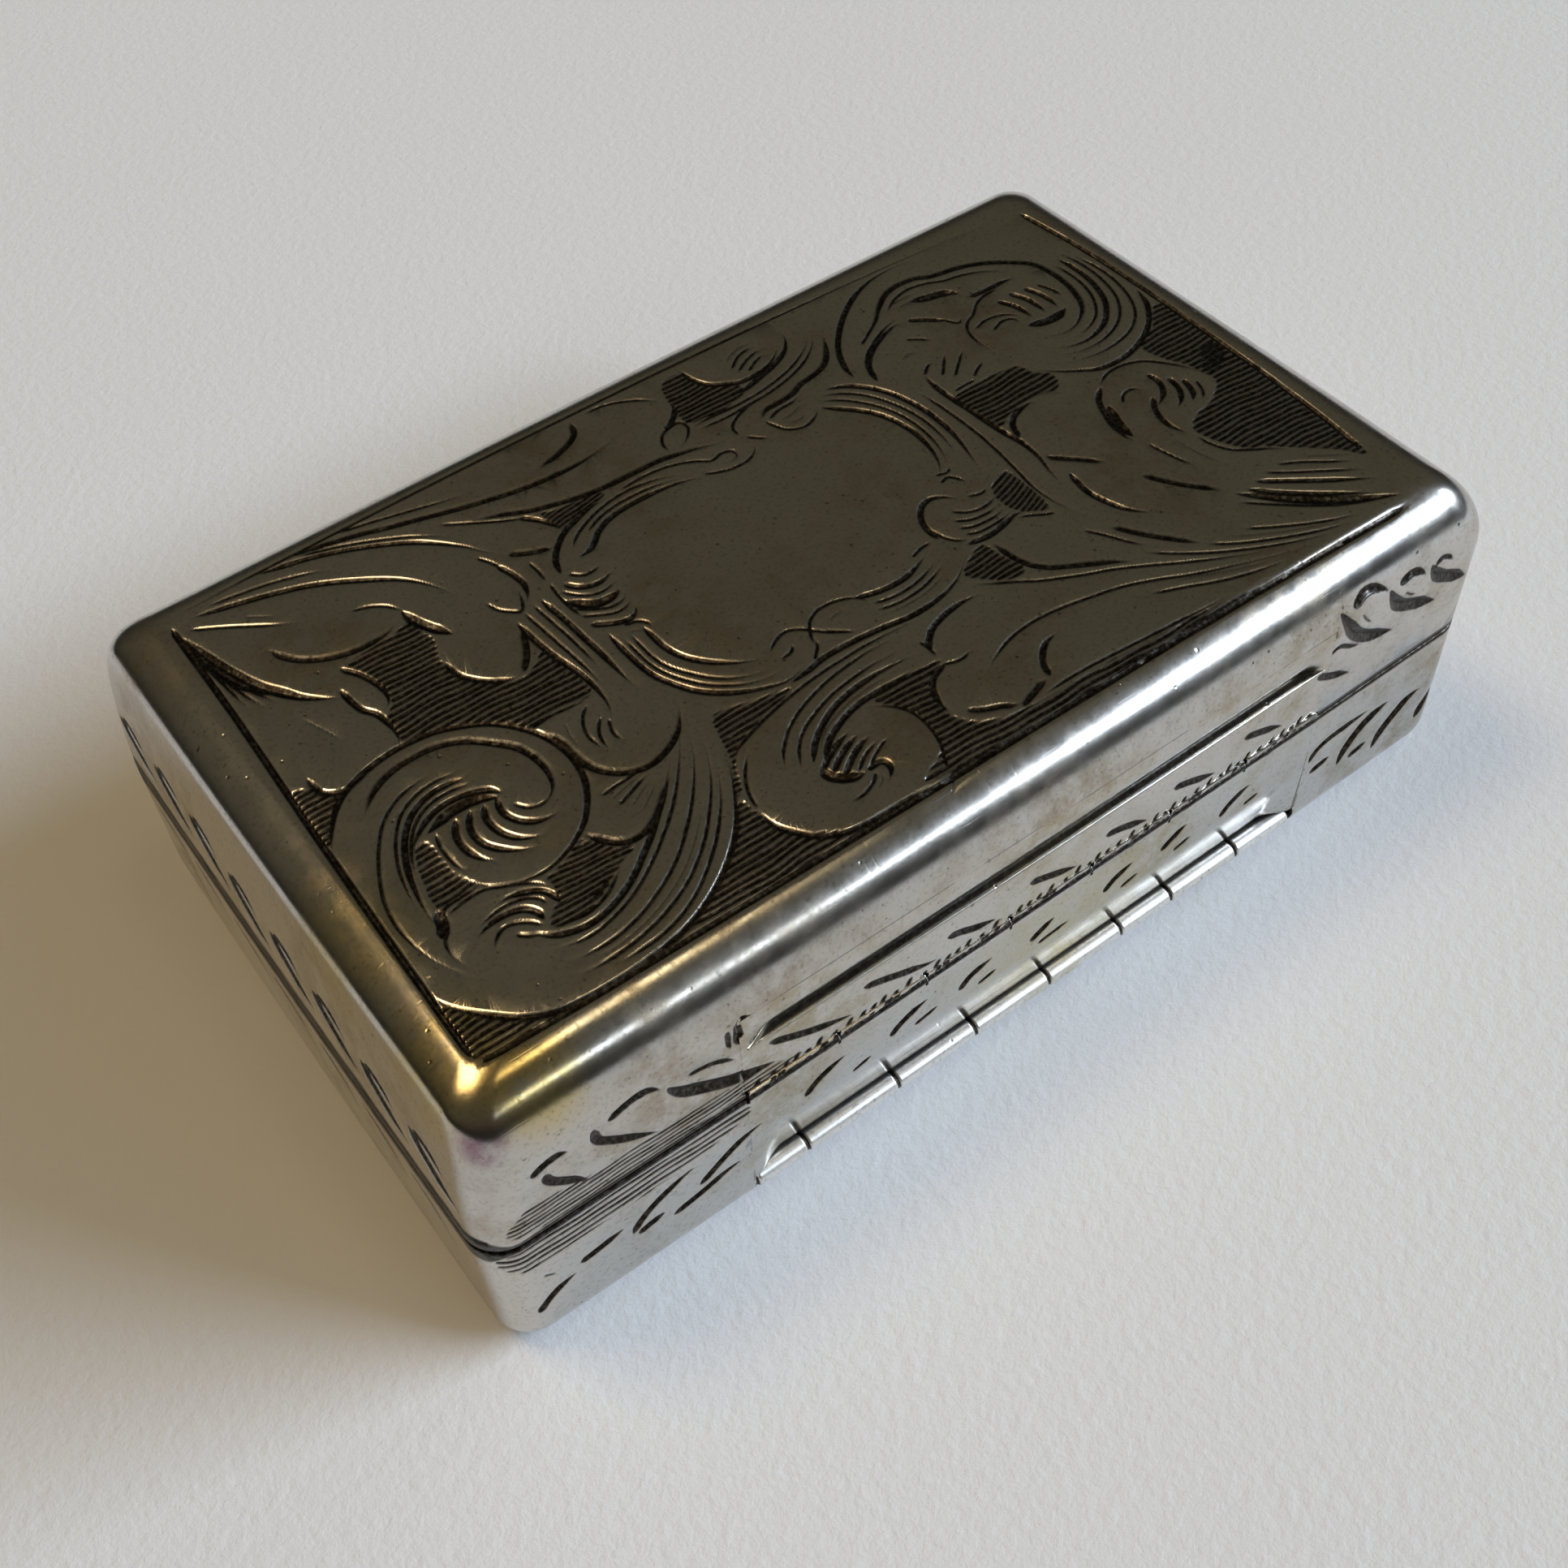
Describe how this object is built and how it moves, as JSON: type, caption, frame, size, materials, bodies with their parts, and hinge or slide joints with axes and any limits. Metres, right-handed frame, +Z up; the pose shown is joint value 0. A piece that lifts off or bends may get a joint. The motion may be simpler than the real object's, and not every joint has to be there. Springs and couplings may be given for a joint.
{
  "type": "vinaigrette box",
  "caption": "Small oblong silver box with an engraved hinged lid, a pierced gilt grille on its own hinge and a scent sponge in the well beneath it.",
  "frame": {"origin": "middle of the footprint, on the surface that the box stands on", "axes": "+Z up, +X along the box's length, the hinged long side faces -Y"},
  "size_m": [0.0388, 0.025, 0.0123],
  "materials": {
    "lid_silver": "engraved silver, worn bright on the rim, brown tarnish on the flat top",
    "base_silver": "engraved silver, worn, with small pits",
    "strip_silver": "worn bright silver",
    "hinge_silver": "silver tube, dark in its joints",
    "pin_wire": "drawn wire",
    "gilt": "fire gilt, soft gloss",
    "sponge": "dry natural sponge"
  },
  "bodies": {
    "base": {"base_shell": "base_silver", "base_hinge_bearer": "strip_silver", "base_bead_rod": "strip_silver", "base_knuckle_1": "hinge_silver", "base_knuckle_2": "hinge_silver", "base_knuckle_3": "hinge_silver", "base_knuckle_4": "hinge_silver", "lid_hinge_pin": "pin_wire", "base_bezel": "gilt", "grille_seat_frame": "gilt", "base_grille_knuckle_left": "gilt", "base_grille_knuckle_right": "gilt", "grille_pin": "pin_wire", "sponge": "sponge"},
    "lid": {"lid_cover": "lid_silver", "lid_hinge_bearer": "strip_silver", "lid_knuckle_1": "hinge_silver", "lid_knuckle_2": "hinge_silver", "lid_knuckle_3": "hinge_silver", "lid_thumbpiece": "strip_silver"},
    "grille": {"grille_plate": "gilt", "grille_lift_tab": "gilt", "grille_knuckle": "gilt"}
  },
  "joints": [
    {"name": "lid_hinge", "type": "hinge", "parent": "base", "child": "lid", "pos_m": [0, -0.0122, 0.0063], "axis": [1, 0, 0], "range_deg": [0, 105]},
    {"name": "grille_hinge", "type": "hinge", "parent": "base", "child": "grille", "pos_m": [0, -0.00945, 0.0052], "axis": [1, 0, 0], "range_deg": [0, 84]}
  ],
  "couplings": [
    {"joint": "grille_hinge", "follows": "lid_hinge", "ratio": 0.8}
  ]
}
